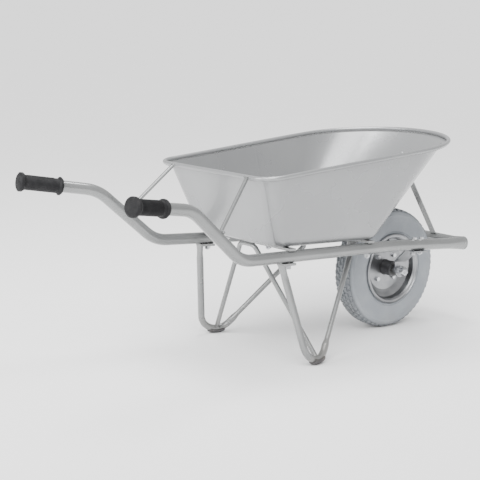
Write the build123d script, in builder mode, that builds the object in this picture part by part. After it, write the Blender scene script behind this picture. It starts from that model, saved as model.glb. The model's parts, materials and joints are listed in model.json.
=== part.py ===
"""Single-wheel builder's wheelbarrow: tubular frame, pressed tray, pneumatic wheel.

Millimetres. +X runs forward to the wheel, +Y to the pusher's left, +Z up.
The origin lies on the ground under the centre of the whole barrow.
"""

import math
import os

from build123d import *

os.makedirs("parts", exist_ok=True)

# ---------------------------------------------------------------- driving sizes
TUBE_R = 18.0
TUBE_WALL = 2.0
HANDLE_END = Vector(-739.6, -282.6, 543.3)
UPPER_BEND = Vector(-505.0, -230.0, 507.0)
LOWER_BEND = Vector(-308.0, -208.0, 339.0)
FRONT_BEND = Vector(376.0, -155.0, 307.0)
NOSE_CORNER = Vector(735.0, -127.4, 275.0)
UPPER_BEND_R = 130.0
LOWER_BEND_R = 120.0
FRONT_BEND_R = 400.0
NOSE_FLARE = 85.0
NOSE_HALF_DEPTH = 12.0
NOSE_HALF_HEIGHT = 22.5

GRIP_CORE_R = 22.0
GRIP_COLLAR_R = 28.5
GRIP_LENGTH = 136.0
GRIP_COLLAR_LENGTH = 13.0
GRIP_END_WALL = 9.0
GRIP_END_EDGE = 5.0
GRIP_END_DOME = 1.5
GRIP_INNER_STEP = 1.0
GRIP_FIT = 0.05

LEG_R = 11.0
ARM_R = 8.0
LEG_WALL = 2.0
LEG_BEND_R = 60.0
LEG_VERTEX_X = -68.0
LEG_VERTEX_Y = -270.0
LEG_SET_BACK = 31.0
ARM_KINK = Vector(223.0, -107.5, 282.0)
ARM_SET_BACK = 16.0
REDUCER_AT = 146.0
REDUCER_LENGTH = 18.0
TAB_THICK = 7.0
TAB_WIDTH = 30.0
TAB_FLARE = 2.0
TAB_CORNER_R = 3.0
TAB_LENGTH = 52.0
ARM_TAB_LENGTH = 34.0
PINCH_LENGTH = 46.0
SHOE_THICK = 4.0
SHOE_LENGTH = 60.0
SEAT_GAP = 0.3

REAR_BOLT_X = -111.0
FRONT_BOLT_X = 244.0
BOLT_R = 4.0
BOLT_HOLE_R = 4.3
BOLT_HEAD_R = 10.0
BOLT_HEAD_H = 4.0
SUNK_HEAD_R = 8.0
SUNK_HEAD_H = 4.0
TRAY_BOLT_Y = 98.0
NUT_FLATS = 13.0
NUT_H = 6.5
WASHER_R = 9.0
WASHER_H = 1.6
CROSS_BAR_WIDTH = 26.0
CROSS_BAR_THICK = 8.0
CROSS_BAR_OVERHANG = 14.0

SHEET = 1.6
FLOOR_REAR_X = -166.0
FLOOR_REAR_HALF = 196.0
FLOOR_SIDE_HALF = 176.0
FLOOR_CORNER_R = 46.0
FLOOR_ARC_X = 236.0
FLOOR_FRONT_X = 308.0
FLOOR_EDGE_R = 34.0
RIM_REAR_X = -261.0
RIM_REAR_HALF = 265.0
RIM_SIDE_HALF = 281.0
RIM_CORNER_R = 60.0
RIM_ARC_X = 369.0
RIM_FRONT_X = 640.0
RIM_HEIGHT = 589.5
RIM_PITCH = 4.65
FLANGE = 18.0
FRONT_FLANGE = 22.0
BEAD_R = 6.5
BEAD_LEVEL = BEAD_R + SEAT_GAP

BRACE_R = 7.5
BRACE_WALL = 1.5
BRACE_TOP_HALF = 32.0
BRACE_BEND_R = 30.0

REAR_STAY_R = 6.0
REAR_STAY_TOP_Y = 175.0
REAR_STAY_SET_BACK = 3.0
REAR_STAY_FOOT_X = -409.0
REAR_STAY_OUTBOARD = 9.0
STAY_THICK = 3.0
FRONT_STAY_RISE = 0.8
PAD_LENGTH = 30.0
FRONT_STAY_WIDTH = 24.0
SMALL_BOLT_R = 3.0
SMALL_HOLE_R = 3.2
SMALL_HEAD_R = 5.5
SMALL_HEAD_H = 3.5
SMALL_NUT_FLATS = 10.0
SMALL_NUT_H = 5.0

WHEEL_X = 489.0
TYRE_R = 200.0
TYRE_HALF = 44.0
TYRE_WALL = 7.0
TYRE_SHOULDER_R = 192.0
TYRE_SHOULDER_HALF = 34.0
TYRE_WIDEST_R = 156.0
TYRE_BEAD_HALF = 22.0
TYRE_CROWN_WALL = 9.0
RIM_LIP_R = 118.0
RIM_LIP_HALF = 39.0
BEAD_SEAT_R = 104.0
RIM_WELL_R = 86.0
RIM_SHEET = 2.5
RIM_LIP_TURN = 4.0
RIM_WELL_EDGE_R = 76.0
RIM_WELL_RISE = 5.0
BEAD_SEAT_HALF = 17.0
BEAD_SEAT_FALL = 3.0
HUB_R = 25.0
HUB_HALF = 46.0
HUB_BORE_R = 17.0
HUB_PLATE_R = 76.0
HUB_PLATE_HALF = 3.0
RIM_BOLT_CIRCLE_R = 52.0
RIM_BOLT_COUNT = 4
RIM_BORE_GAP = 1.5

VALVE_R = 4.0
VALVE_LENGTH = 24.0
VALVE_FOOT_R = 6.0
VALVE_FOOT_H = 3.0
VALVE_CAP_R = 5.0
VALVE_CAP_H = 9.0
AXLE_R = 8.0
SPACER_R = 12.0
SEAL_GAP = 0.5
SEAL_DEPTH = 4.0
INNER_RACE_R = 11.0
OUTER_RACE_R = 17.0
AXLE_WASHER_R = 15.0
AXLE_HALF = 100.0
AXLE_CHAMFER = 1.5
BEARING_R = 20.0
BEARING_WIDTH = 12.0
BALL_CIRCLE_R = 14.0
BALL_COUNT = 9
RUN_FIT = 0.05

BRACKET_INNER = 72.0
BRACKET_THICK = 4.0
BRACKET_FLANGE = 40.0
BRACKET_TOP_WIDTH = 64.0
BRACKET_EYE_R = 23.0
BRACKET_BOLT_SPACING = 36.0
AXLE_NUT_FLATS = 24.0
AXLE_NUT_H = 13.0

# ---------------------------------------------------------------- worked-out sizes
RUN_SPAN = FRONT_BEND - LOWER_BEND
RUN_ZERO_Z = LOWER_BEND.Z - RUN_SPAN.Z / RUN_SPAN.X * LOWER_BEND.X
RUN = Plane(origin=(0, 0, RUN_ZERO_Z), x_dir=(RUN_SPAN.X, 0, RUN_SPAN.Z), z_dir=(-RUN_SPAN.Z, 0, RUN_SPAN.X))
FLOOR_LEVEL = TUBE_R + CROSS_BAR_THICK
NOSE_SPAN = NOSE_CORNER - FRONT_BEND
NOSE_DIR = NOSE_SPAN.normalized()
WHEEL_AXIS = Axis((WHEEL_X, 0, TYRE_R), (0, 1, 0))
WHEEL_PROFILE = Plane(origin=(WHEEL_X, 0, TYRE_R), x_dir=(0, 0, 1), z_dir=(-1, 0, 0))


def run_half_width(x):
    """Half the distance between the side tubes' centre lines at x on the straight run."""
    return -(LOWER_BEND.Y + RUN_SPAN.Y / RUN_SPAN.X * (x - LOWER_BEND.X))


def on_nose_run(x):
    """Point on the right side tube's centre line at x, forward of the front bend."""
    return FRONT_BEND + NOSE_SPAN * ((x - FRONT_BEND.X) / NOSE_SPAN.X)


FRONT = Plane(
    origin=(WHEEL_X, 0, on_nose_run(WHEEL_X).Z),
    x_dir=(NOSE_SPAN.X, 0, NOSE_SPAN.Z),
    z_dir=(-NOSE_SPAN.Z, 0, NOSE_SPAN.X),
)


def bent_line(points, radii):
    """Straight lines through the points, with a tangent arc of the given radius at each corner."""
    start = points[0]
    for before, corner, after, radius in zip(points, points[1:], points[2:], radii):
        back = (before - corner).normalized()
        ahead = (after - corner).normalized()
        half = math.radians(back.get_angle(ahead)) / 2
        arc_start = corner + back * (radius / math.tan(half))
        arc_end = corner + ahead * (radius / math.tan(half))
        arc_mid = corner + (back + ahead).normalized() * (radius / math.sin(half) - radius)
        Line(start, arc_start)
        ThreePointArc(arc_start, arc_mid, arc_end)
        start = arc_end
    Line(start, points[-1])


def tray_outline(rear_x, rear_half, corner_r, arc_x, side_half, front_x):
    """Closed outline of the tray in plan: straight rear, round corners, half-ellipse front."""
    corner_mid = corner_r * (1 - math.sqrt(0.5))
    Line((rear_x, rear_half - corner_r), (rear_x, corner_r - rear_half))
    for side in (1, -1):
        Spline(
            (rear_x + corner_r, side * rear_half),
            (arc_x, side * side_half),
            tangents=[(1, 0), (1, 0)],
        )
        ThreePointArc(
            (rear_x, side * (rear_half - corner_r)),
            (rear_x + corner_mid, side * (rear_half - corner_mid)),
            (rear_x + corner_r, side * rear_half),
        )
    EllipticalCenterArc((arc_x, 0), front_x - arc_x, side_half, start_angle=-90, arc_size=180)


def ring(outer, inner):
    """Flat ring sketch for a tube section."""
    Circle(outer)
    Circle(inner, mode=Mode.SUBTRACT)


# ---------------------------------------------------------------- side tubes
SIDE_POINTS = [HANDLE_END, UPPER_BEND, LOWER_BEND, FRONT_BEND, NOSE_CORNER - NOSE_DIR * NOSE_FLARE]
MITRE = Plane(origin=NOSE_CORNER, z_dir=NOSE_DIR + Vector(0, 1, 0))

with BuildPart() as right_side_tube:
    with BuildLine() as side_path:
        bent_line(SIDE_POINTS, [UPPER_BEND_R, LOWER_BEND_R, FRONT_BEND_R])
    with BuildSketch(Plane(origin=HANDLE_END, z_dir=UPPER_BEND - HANDLE_END)):
        ring(TUBE_R, TUBE_R - TUBE_WALL)
    sweep(path=side_path.wire())
    for inset, mode in ((0, Mode.ADD), (TUBE_WALL, Mode.SUBTRACT)):
        flare_start = NOSE_CORNER - NOSE_DIR * NOSE_FLARE
        with BuildSketch(Plane(origin=flare_start, x_dir=(0, 1, 0), z_dir=NOSE_DIR)):
            Circle(TUBE_R - inset)
        with BuildSketch(Plane(origin=NOSE_CORNER, x_dir=(0, 1, 0), z_dir=NOSE_DIR)) as flare_end:
            Ellipse(NOSE_HALF_DEPTH - inset, NOSE_HALF_HEIGHT - inset)
        loft(mode=mode)
        extrude(flare_end.sketch, amount=2 * NOSE_HALF_DEPTH, mode=mode)
    split(bisect_by=MITRE, keep=Keep.BOTTOM)
    for bolt_x in (REAR_BOLT_X, FRONT_BOLT_X):
        with Locations(RUN * Location((bolt_x, -run_half_width(bolt_x), 0))):
            Cylinder(BOLT_HOLE_R, 3 * TUBE_R, mode=Mode.SUBTRACT)
    for step in (-BRACKET_BOLT_SPACING / 2, BRACKET_BOLT_SPACING / 2):
        with Locations(FRONT * Location((step, on_nose_run(WHEEL_X + step).Y, 0))):
            Cylinder(BOLT_HOLE_R, 3 * TUBE_R, mode=Mode.SUBTRACT)
right_side_tube.part.label = "right_side_tube"
export_step(right_side_tube.part, "parts/right_side_tube.step")

with BuildPart() as left_side_tube:
    add(mirror(right_side_tube.part, about=Plane.XZ))
left_side_tube.part.label = "left_side_tube"
export_step(left_side_tube.part, "parts/left_side_tube.step")

# ---------------------------------------------------------------- nose bar
NOSE_STRAIGHT = -NOSE_CORNER.Y - NOSE_FLARE / 2

with BuildPart() as nose_bar:
    for inset, mode in ((0, Mode.ADD), (TUBE_WALL, Mode.SUBTRACT)):
        bar_middle = Plane(origin=(NOSE_CORNER.X, 0, NOSE_CORNER.Z), x_dir=(1, 0, 0), z_dir=(0, 1, 0))
        with BuildSketch(bar_middle):
            Circle(TUBE_R - inset)
        extrude(amount=NOSE_STRAIGHT, both=True, mode=mode)
        for side in (1, -1):
            bar_end = Plane(
                origin=(NOSE_CORNER.X, side * NOSE_STRAIGHT, NOSE_CORNER.Z),
                x_dir=(1, 0, 0),
                z_dir=(0, side, 0),
            )
            with BuildSketch(bar_end):
                Circle(TUBE_R - inset)
            with BuildSketch(bar_end.offset(NOSE_FLARE / 2)) as flare_end:
                Ellipse(NOSE_HALF_DEPTH - inset, NOSE_HALF_HEIGHT - inset)
            loft(mode=mode)
            extrude(flare_end.sketch, amount=2 * NOSE_HALF_DEPTH, mode=mode)
    split(bisect_by=MITRE, keep=Keep.TOP)
    split(
        bisect_by=Plane(
            origin=(NOSE_CORNER.X, -NOSE_CORNER.Y, NOSE_CORNER.Z),
            z_dir=(NOSE_DIR.X, -1 - NOSE_DIR.Y, NOSE_DIR.Z),
        ),
        keep=Keep.TOP,
    )
nose_bar.part.label = "nose_bar"
export_step(nose_bar.part, "parts/nose_bar.step")

# ---------------------------------------------------------------- hand grips
GRIP_AXIS = (UPPER_BEND - HANDLE_END).normalized()
GRIP_PLANE = Plane(origin=HANDLE_END, x_dir=(0, 0, 1), z_dir=GRIP_AXIS)
GRIP_MOUTH = GRIP_LENGTH - GRIP_END_WALL

with BuildPart() as right_grip:
    with BuildSketch(Plane(origin=HANDLE_END, x_dir=GRIP_PLANE.x_dir, z_dir=-GRIP_PLANE.y_dir)):
        with BuildLine():
            outer = GRIP_COLLAR_R
            Polyline(
                (0, -GRIP_END_WALL),
                (outer - GRIP_END_EDGE, GRIP_END_DOME - GRIP_END_WALL),
                (outer, GRIP_END_EDGE - GRIP_END_WALL),
                (outer, GRIP_COLLAR_LENGTH - GRIP_END_WALL),
                (GRIP_CORE_R, GRIP_COLLAR_LENGTH),
                (GRIP_CORE_R, GRIP_MOUTH - GRIP_COLLAR_LENGTH),
                (outer - GRIP_INNER_STEP, GRIP_MOUTH - GRIP_COLLAR_LENGTH + GRIP_END_EDGE),
                (outer - GRIP_INNER_STEP, GRIP_MOUTH - GRIP_END_EDGE),
                (outer - GRIP_END_EDGE, GRIP_MOUTH),
                (TUBE_R + GRIP_FIT, GRIP_MOUTH),
                (TUBE_R + GRIP_FIT, -SEAT_GAP),
                (0, -SEAT_GAP),
                close=True,
            )
        make_face()
    revolve(axis=Axis(HANDLE_END, GRIP_AXIS))
right_grip.part.label = "right_grip"
export_step(right_grip.part, "parts/right_grip.step")

with BuildPart() as left_grip:
    add(mirror(right_grip.part, about=Plane.XZ))
left_grip.part.label = "left_grip"
export_step(left_grip.part, "parts/left_grip.step")

# ---------------------------------------------------------------- legs
TAB_BOTTOM = -TUBE_R - SEAT_GAP - TAB_THICK
ARM_TAB_BOTTOM = TUBE_R - TAB_THICK
LEG_TOP_X = REAR_BOLT_X - LEG_SET_BACK
LEG_TOP = RUN.from_local_coords(Vector(LEG_TOP_X, -run_half_width(LEG_TOP_X), TAB_BOTTOM + TAB_THICK / 2))
REAR_TAB = Plane(origin=LEG_TOP, x_dir=RUN_SPAN, z_dir=RUN.z_dir)
ARM_BOLT = RUN.from_local_coords(Vector(FRONT_BOLT_X, -TRAY_BOLT_Y, ARM_TAB_BOTTOM + TAB_THICK / 2))


def leg_bend(vertex):
    """Lowest point of the leg's bend and the way down within the leg's own plane."""
    back = (LEG_TOP - vertex).normalized()
    ahead = (ARM_KINK - vertex).normalized()
    half = math.radians(back.get_angle(ahead)) / 2
    centre = vertex + (back + ahead).normalized() * (LEG_BEND_R / math.sin(half))
    normal = back.cross(ahead).normalized()
    down = (Vector(0, 0, -1) + normal * normal.Z).normalized()
    return centre + down * LEG_BEND_R, down


LEG_VERTEX = Vector(LEG_VERTEX_X, LEG_VERTEX_Y, -LEG_BEND_R)
for _ in range(8):
    lift = LEG_R + SHOE_THICK - leg_bend(LEG_VERTEX)[0].Z
    LEG_VERTEX = LEG_VERTEX + Vector(0, 0, lift)
FOOT, FOOT_DOWN = leg_bend(LEG_VERTEX)
LEG_DIR = (LEG_VERTEX - LEG_TOP).normalized()
ARM_DIR = (ARM_KINK - LEG_VERTEX).normalized()
LEG_START = LEG_TOP + LEG_DIR * PINCH_LENGTH
REDUCER_START = LEG_VERTEX + ARM_DIR * REDUCER_AT
REDUCER_END = REDUCER_START + ARM_DIR * REDUCER_LENGTH
ARM_PLAN = RUN.to_local_coords(RUN.origin + ARM_DIR)
ARM_HEADING = (RUN.x_dir * ARM_PLAN.X + RUN.y_dir * ARM_PLAN.Y).normalized()
ARM_TAB = Plane(origin=ARM_BOLT - ARM_HEADING * ARM_SET_BACK, x_dir=ARM_HEADING, z_dir=RUN.z_dir)

with BuildPart() as right_leg:
    for inset, mode in ((0, Mode.ADD), (LEG_WALL, Mode.SUBTRACT)):
        with BuildLine() as leg_path:
            bent_line([LEG_START, LEG_VERTEX, REDUCER_START], [LEG_BEND_R])
        with BuildSketch(Plane(origin=LEG_START, z_dir=LEG_DIR)):
            Circle(LEG_R - inset)
        sweep(path=leg_path.wire(), mode=mode)
        with BuildSketch(Plane(origin=REDUCER_START, z_dir=ARM_DIR)):
            Circle(LEG_R - inset)
        with BuildSketch(Plane(origin=REDUCER_END, z_dir=ARM_DIR)):
            Circle(ARM_R - inset)
        loft(mode=mode)
        with BuildSketch(Plane(origin=REDUCER_END, z_dir=ARM_DIR)):
            Circle(ARM_R - inset)
        extrude(amount=(ARM_KINK - REDUCER_END).length, mode=mode)
    for tab, end, radius, way in (
        (REAR_TAB, LEG_START, LEG_R, -LEG_DIR),
        (ARM_TAB, ARM_KINK, ARM_R, ARM_DIR),
    ):
        with BuildSketch(Plane(origin=end, x_dir=tab.y_dir - way * tab.y_dir.dot(way), z_dir=way)):
            Circle(radius)
        with BuildSketch(tab):
            RectangleRounded(TAB_THICK + TAB_FLARE, TAB_WIDTH, TAB_CORNER_R)
        loft()
    for tab, length in ((REAR_TAB, TAB_LENGTH), (ARM_TAB, ARM_TAB_LENGTH)):
        with Locations(tab * Location((-TAB_THICK / 2, 0, 0))):
            Box(length, TAB_WIDTH, TAB_THICK, align=(Align.MIN, Align.CENTER, Align.CENTER))
    with Locations(REAR_TAB * Location((LEG_SET_BACK, 0, 0)), ARM_TAB * Location((ARM_SET_BACK, 0, 0))):
        Cylinder(BOLT_HOLE_R, 2 * TAB_THICK, mode=Mode.SUBTRACT)
right_leg.part.label = "right_leg"
export_step(right_leg.part, "parts/right_leg.step")

with BuildPart() as left_leg:
    add(mirror(right_leg.part, about=Plane.XZ))
left_leg.part.label = "left_leg"
export_step(left_leg.part, "parts/left_leg.step")

# ---------------------------------------------------------------- foot shoes
SHOE_R = LEG_R + SEAT_GAP + SHOE_THICK
SHOE_ARC = math.degrees(SHOE_LENGTH / (LEG_BEND_R + SHOE_R))
BEND_CENTRE = FOOT - FOOT_DOWN * LEG_BEND_R
BEND_AXIS = Axis(BEND_CENTRE, (LEG_DIR * -1).cross(ARM_DIR))
SHOE_HEEL = FOOT_DOWN.rotate(Axis((0, 0, 0), BEND_AXIS.direction), -SHOE_ARC / 2)

with BuildPart() as right_foot_shoe:
    heel = Plane(
        origin=BEND_CENTRE + SHOE_HEEL * LEG_BEND_R,
        x_dir=BEND_AXIS.direction,
        z_dir=BEND_AXIS.direction.cross(SHOE_HEEL),
    )
    with BuildSketch(heel):
        ring(SHOE_R, LEG_R + SEAT_GAP)
        Rectangle(2 * SHOE_R, SHOE_R, align=(Align.CENTER, Align.MAX), mode=Mode.SUBTRACT)
    revolve(axis=BEND_AXIS, revolution_arc=SHOE_ARC)
    split(bisect_by=Plane.XY, keep=Keep.TOP)
right_foot_shoe.part.label = "right_foot_shoe"
export_step(right_foot_shoe.part, "parts/right_foot_shoe.step")

with BuildPart() as left_foot_shoe:
    add(mirror(right_foot_shoe.part, about=Plane.XZ))
left_foot_shoe.part.label = "left_foot_shoe"
export_step(left_foot_shoe.part, "parts/left_foot_shoe.step")

# ---------------------------------------------------------------- cross bars
FRAME_SPOTS = [
    RUN * Location((bolt_x, side * run_half_width(bolt_x), 0))
    for bolt_x in (REAR_BOLT_X, FRONT_BOLT_X)
    for side in (1, -1)
]
TRAY_SPOTS = [
    RUN * Location((bolt_x, side * TRAY_BOLT_Y, 0))
    for bolt_x in (REAR_BOLT_X, FRONT_BOLT_X)
    for side in (1, -1)
]
FRAME_SEATS = [TAB_BOTTOM, TAB_BOTTOM, -TUBE_R - SEAT_GAP, -TUBE_R - SEAT_GAP]
TRAY_SEATS = [TUBE_R + SEAT_GAP, TUBE_R + SEAT_GAP, ARM_TAB_BOTTOM, ARM_TAB_BOTTOM]
SUNK_LEVEL = FLOOR_LEVEL - SEAT_GAP
DOWNWARD = (Align.CENTER, Align.CENTER, Align.MAX)
UPWARD = (Align.CENTER, Align.CENTER, Align.MIN)

for bar_name, bolt_x in (("rear_cross_bar", REAR_BOLT_X), ("front_cross_bar", FRONT_BOLT_X)):
    with BuildPart() as cross_bar:
        with Locations(RUN * Location((bolt_x, 0, TUBE_R + SEAT_GAP))):
            Box(
                CROSS_BAR_WIDTH,
                2 * (run_half_width(bolt_x) + CROSS_BAR_OVERHANG),
                CROSS_BAR_THICK - SEAT_GAP,
                align=UPWARD,
            )
        with Locations(*FRAME_SPOTS, *TRAY_SPOTS):
            Cylinder(BOLT_HOLE_R, 4 * TUBE_R, mode=Mode.SUBTRACT)
        with Locations(*[spot * Location((0, 0, FLOOR_LEVEL)) for spot in FRAME_SPOTS]):
            Cone(BOLT_HOLE_R, SUNK_HEAD_R + SEAT_GAP, SUNK_HEAD_H, align=DOWNWARD, mode=Mode.SUBTRACT)
    cross_bar.part.label = bar_name
    export_step(cross_bar.part, f"parts/{bar_name}.step")

# ---------------------------------------------------------------- tray
RIM_RISE = math.tan(math.radians(RIM_PITCH))
RIM = Plane(origin=(0, 0, RIM_HEIGHT), x_dir=(1, 0, RIM_RISE), z_dir=(-RIM_RISE, 0, 1))

BOW_LOW = RUN.from_local_coords(Vector(FLOOR_FRONT_X, 0, FLOOR_LEVEL))
BOW_HIGH = RIM.from_local_coords(Vector(RIM_FRONT_X - FRONT_FLANGE, 0, 0))
BOW_UP = (BOW_HIGH - BOW_LOW).normalized()
BOW_OUT = BOW_UP.cross(Vector(0, -1, 0))
BOW_POINT = BOW_LOW + (BOW_HIGH - BOW_LOW) * FRONT_STAY_RISE
STAY_SPOT = Plane(origin=BOW_POINT, x_dir=BOW_UP, z_dir=BOW_OUT).location

with BuildPart() as tray_shell:
    for inset, mode in ((0, Mode.ADD), (SHEET, Mode.SUBTRACT)):
        with BuildSketch(RUN.offset(FLOOR_LEVEL + inset)):
            with BuildLine():
                tray_outline(
                    FLOOR_REAR_X + inset,
                    FLOOR_REAR_HALF - inset,
                    FLOOR_CORNER_R - inset,
                    FLOOR_ARC_X,
                    FLOOR_SIDE_HALF - inset,
                    FLOOR_FRONT_X - inset,
                )
            make_face()
        with BuildSketch(RIM):
            with BuildLine():
                tray_outline(
                    RIM_REAR_X + FLANGE + inset,
                    RIM_REAR_HALF - FLANGE - inset,
                    RIM_CORNER_R - FLANGE - inset,
                    RIM_ARC_X,
                    RIM_SIDE_HALF - FLANGE - inset,
                    RIM_FRONT_X - FRONT_FLANGE - inset,
                )
            make_face()
        loft(mode=mode)
        if mode == Mode.ADD:
            with BuildSketch(RIM):
                with BuildLine():
                    tray_outline(
                        RIM_REAR_X,
                        RIM_REAR_HALF,
                        RIM_CORNER_R,
                        RIM_ARC_X,
                        RIM_SIDE_HALF,
                        RIM_FRONT_X,
                    )
                make_face()
            extrude(amount=-SHEET)
    outer_floor = tray_shell.faces().filter_by(lambda f: f.normal_at().dot(RUN.z_dir) < -0.999)
    fillet(outer_floor.edges(), FLOOR_EDGE_R)
    inner_floor = tray_shell.faces().filter_by(lambda f: f.normal_at().dot(RUN.z_dir) > 0.999)
    fillet(inner_floor.edges(), FLOOR_EDGE_R - SHEET)
    with Locations(*[spot * Location((0, 0, FLOOR_LEVEL)) for spot in TRAY_SPOTS]):
        Cylinder(BOLT_HOLE_R, 4 * SHEET, mode=Mode.SUBTRACT)
    with Locations(STAY_SPOT):
        Cylinder(SMALL_HOLE_R, 12 * SHEET, mode=Mode.SUBTRACT)
tray_shell.part.label = "tray_shell"
export_step(tray_shell.part, "parts/tray_shell.step")

with BuildPart() as tray_rim:
    with BuildSketch(RIM.offset(BEAD_LEVEL), mode=Mode.PRIVATE) as rim_outline:
        with BuildLine():
            tray_outline(RIM_REAR_X, RIM_REAR_HALF, RIM_CORNER_R, RIM_ARC_X, RIM_SIDE_HALF, RIM_FRONT_X)
        make_face()
    rim_path = rim_outline.sketch.face().outer_wire()
    with BuildSketch(Plane(origin=rim_path @ 0, z_dir=rim_path % 0)):
        Circle(BEAD_R)
    sweep(path=rim_path)
tray_rim.part.label = "tray_rim"
export_step(tray_rim.part, "parts/tray_rim.step")

# ---------------------------------------------------------------- leg brace
BRACE_TOP_Z = RUN.from_local_coords(Vector(REAR_BOLT_X, 0, TUBE_R - BRACE_R)).Z
BRACE_TOP = Vector(REAR_BOLT_X, -BRACE_TOP_HALF, BRACE_TOP_Z)

with BuildPart() as leg_envelope:
    with BuildLine() as leg_path:
        bent_line([LEG_START, LEG_VERTEX, REDUCER_START], [LEG_BEND_R])
    with BuildSketch(Plane(origin=LEG_START, z_dir=LEG_DIR)):
        Circle(LEG_R + SEAT_GAP)
    sweep(path=leg_path.wire())

with BuildPart() as leg_brace:
    with BuildLine() as brace_path:
        bent_line(
            [
                FOOT,
                BRACE_TOP,
                Vector(BRACE_TOP.X, -BRACE_TOP.Y, BRACE_TOP.Z),
                Vector(FOOT.X, -FOOT.Y, FOOT.Z),
            ],
            [BRACE_BEND_R, BRACE_BEND_R],
        )
    with BuildSketch(Plane(origin=FOOT, z_dir=BRACE_TOP - FOOT)):
        ring(BRACE_R, BRACE_R - BRACE_WALL)
    sweep(path=brace_path.wire())
    add(leg_envelope.part, mode=Mode.SUBTRACT)
    add(mirror(leg_envelope.part, about=Plane.XZ), mode=Mode.SUBTRACT)
leg_brace.part.label = "leg_brace"
export_step(leg_brace.part, "parts/leg_brace.step")

# ---------------------------------------------------------------- stays
SLOPE_DIR = (LOWER_BEND - UPPER_BEND).normalized()
SLOPE_POINT = UPPER_BEND + (LOWER_BEND - UPPER_BEND) * (
    (REAR_STAY_FOOT_X - UPPER_BEND.X) / (LOWER_BEND.X - UPPER_BEND.X)
)
PAD_LIFT = SEAT_GAP + STAY_THICK / 2
REAR_STAY_FOOT = SLOPE_POINT - Vector(0, REAR_STAY_OUTBOARD, 0)
REAR_BEAD = RIM.from_local_coords(Vector(RIM_REAR_X, -REAR_STAY_TOP_Y, BEAD_LEVEL))
REAR_STAY_SPAN = REAR_BEAD - Vector(REAR_STAY_SET_BACK, 0, 0) - REAR_STAY_FOOT

with BuildPart() as right_rear_stay:
    with BuildSketch(Plane(origin=REAR_STAY_FOOT, z_dir=REAR_STAY_SPAN)):
        Circle(REAR_STAY_R)
    extrude(amount=REAR_STAY_SPAN.length)
    with Locations(Plane(origin=SLOPE_POINT, z_dir=SLOPE_DIR).location):
        Cylinder(TUBE_R + SEAT_GAP, 6 * TUBE_R, mode=Mode.SUBTRACT)
    with Locations(Plane(origin=REAR_BEAD, z_dir=(0, 1, 0)).location):
        Cylinder(BEAD_R + SEAT_GAP, 8 * BEAD_R, mode=Mode.SUBTRACT)
right_rear_stay.part.label = "right_rear_stay"
export_step(right_rear_stay.part, "parts/right_rear_stay.step")

with BuildPart() as left_rear_stay:
    add(mirror(right_rear_stay.part, about=Plane.XZ))
left_rear_stay.part.label = "left_rear_stay"
export_step(left_rear_stay.part, "parts/left_rear_stay.step")

FRONT_TOP_PAD = BOW_POINT + BOW_OUT * PAD_LIFT
NOSE_MIDDLE = Vector(NOSE_CORNER.X, 0, NOSE_CORNER.Z)
FRONT_STAY_SPAN = FRONT_TOP_PAD - BOW_UP * (PAD_LENGTH / 2 - 1) - NOSE_MIDDLE
FRONT_STAY_START = NOSE_MIDDLE + FRONT_STAY_SPAN.normalized() * (TUBE_R + SEAT_GAP)

with BuildPart() as front_stay:
    with BuildSketch(Plane(origin=FRONT_STAY_START, x_dir=(0, 1, 0), z_dir=FRONT_STAY_SPAN)):
        Rectangle(FRONT_STAY_WIDTH, STAY_THICK)
    extrude(amount=FRONT_STAY_SPAN.length - TUBE_R - SEAT_GAP)
    split(bisect_by=Plane(origin=BOW_POINT + BOW_OUT * SEAT_GAP, z_dir=BOW_OUT))
    with Locations(Plane(origin=FRONT_TOP_PAD, x_dir=BOW_UP, z_dir=BOW_OUT).location):
        Box(PAD_LENGTH, FRONT_STAY_WIDTH, STAY_THICK)
        Cylinder(SMALL_HOLE_R, 2 * STAY_THICK, mode=Mode.SUBTRACT)
front_stay.part.label = "front_stay"
export_step(front_stay.part, "parts/front_stay.step")

# ---------------------------------------------------------------- axle brackets
EYE = FRONT.to_local_coords(Vector(WHEEL_X, 0, TYRE_R))
FLANGE_LEVEL = -TUBE_R - SEAT_GAP
BRACKET_OUTER = -on_nose_run(WHEEL_X).Y + BRACKET_FLANGE / 2

with BuildPart() as right_axle_bracket:
    with BuildSketch(Plane(origin=FRONT.origin, x_dir=(0, 1, 0), z_dir=FRONT.x_dir)):
        with BuildLine():
            Polyline(
                (-BRACKET_INNER, EYE.Z - BRACKET_EYE_R - 5),
                (-BRACKET_INNER, EYE.Z + BRACKET_EYE_R + 8),
                (BRACKET_FLANGE - BRACKET_OUTER, FLANGE_LEVEL),
                (-BRACKET_OUTER, FLANGE_LEVEL),
            )
            offset(amount=BRACKET_THICK, side=Side.LEFT)
        make_face()
    extrude(amount=BRACKET_TOP_WIDTH / 2, both=True)
    with BuildSketch(Plane(origin=FRONT.origin, x_dir=FRONT.x_dir, z_dir=(0, -1, 0))):
        with Locations((EYE.X, EYE.Z)):
            Circle(BRACKET_EYE_R)
        with Locations((0, -TUBE_R)):
            Rectangle(BRACKET_TOP_WIDTH, 2 * BRACKET_THICK)
        make_hull()
    extrude(amount=2 * BRACKET_OUTER, mode=Mode.INTERSECT)
    with Locations(Location((WHEEL_X, -BRACKET_INNER, TYRE_R), (90, 0, 0))):
        Cylinder(AXLE_R + RUN_FIT, 4 * BRACKET_THICK, mode=Mode.SUBTRACT)
    for step in (-BRACKET_BOLT_SPACING / 2, BRACKET_BOLT_SPACING / 2):
        with Locations(FRONT * Location((step, on_nose_run(WHEEL_X + step).Y, FLANGE_LEVEL))):
            Cylinder(BOLT_HOLE_R, 4 * BRACKET_THICK, mode=Mode.SUBTRACT)
right_axle_bracket.part.label = "right_axle_bracket"
export_step(right_axle_bracket.part, "parts/right_axle_bracket.step")

with BuildPart() as left_axle_bracket:
    add(mirror(right_axle_bracket.part, about=Plane.XZ))
left_axle_bracket.part.label = "left_axle_bracket"
export_step(left_axle_bracket.part, "parts/left_axle_bracket.step")

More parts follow.
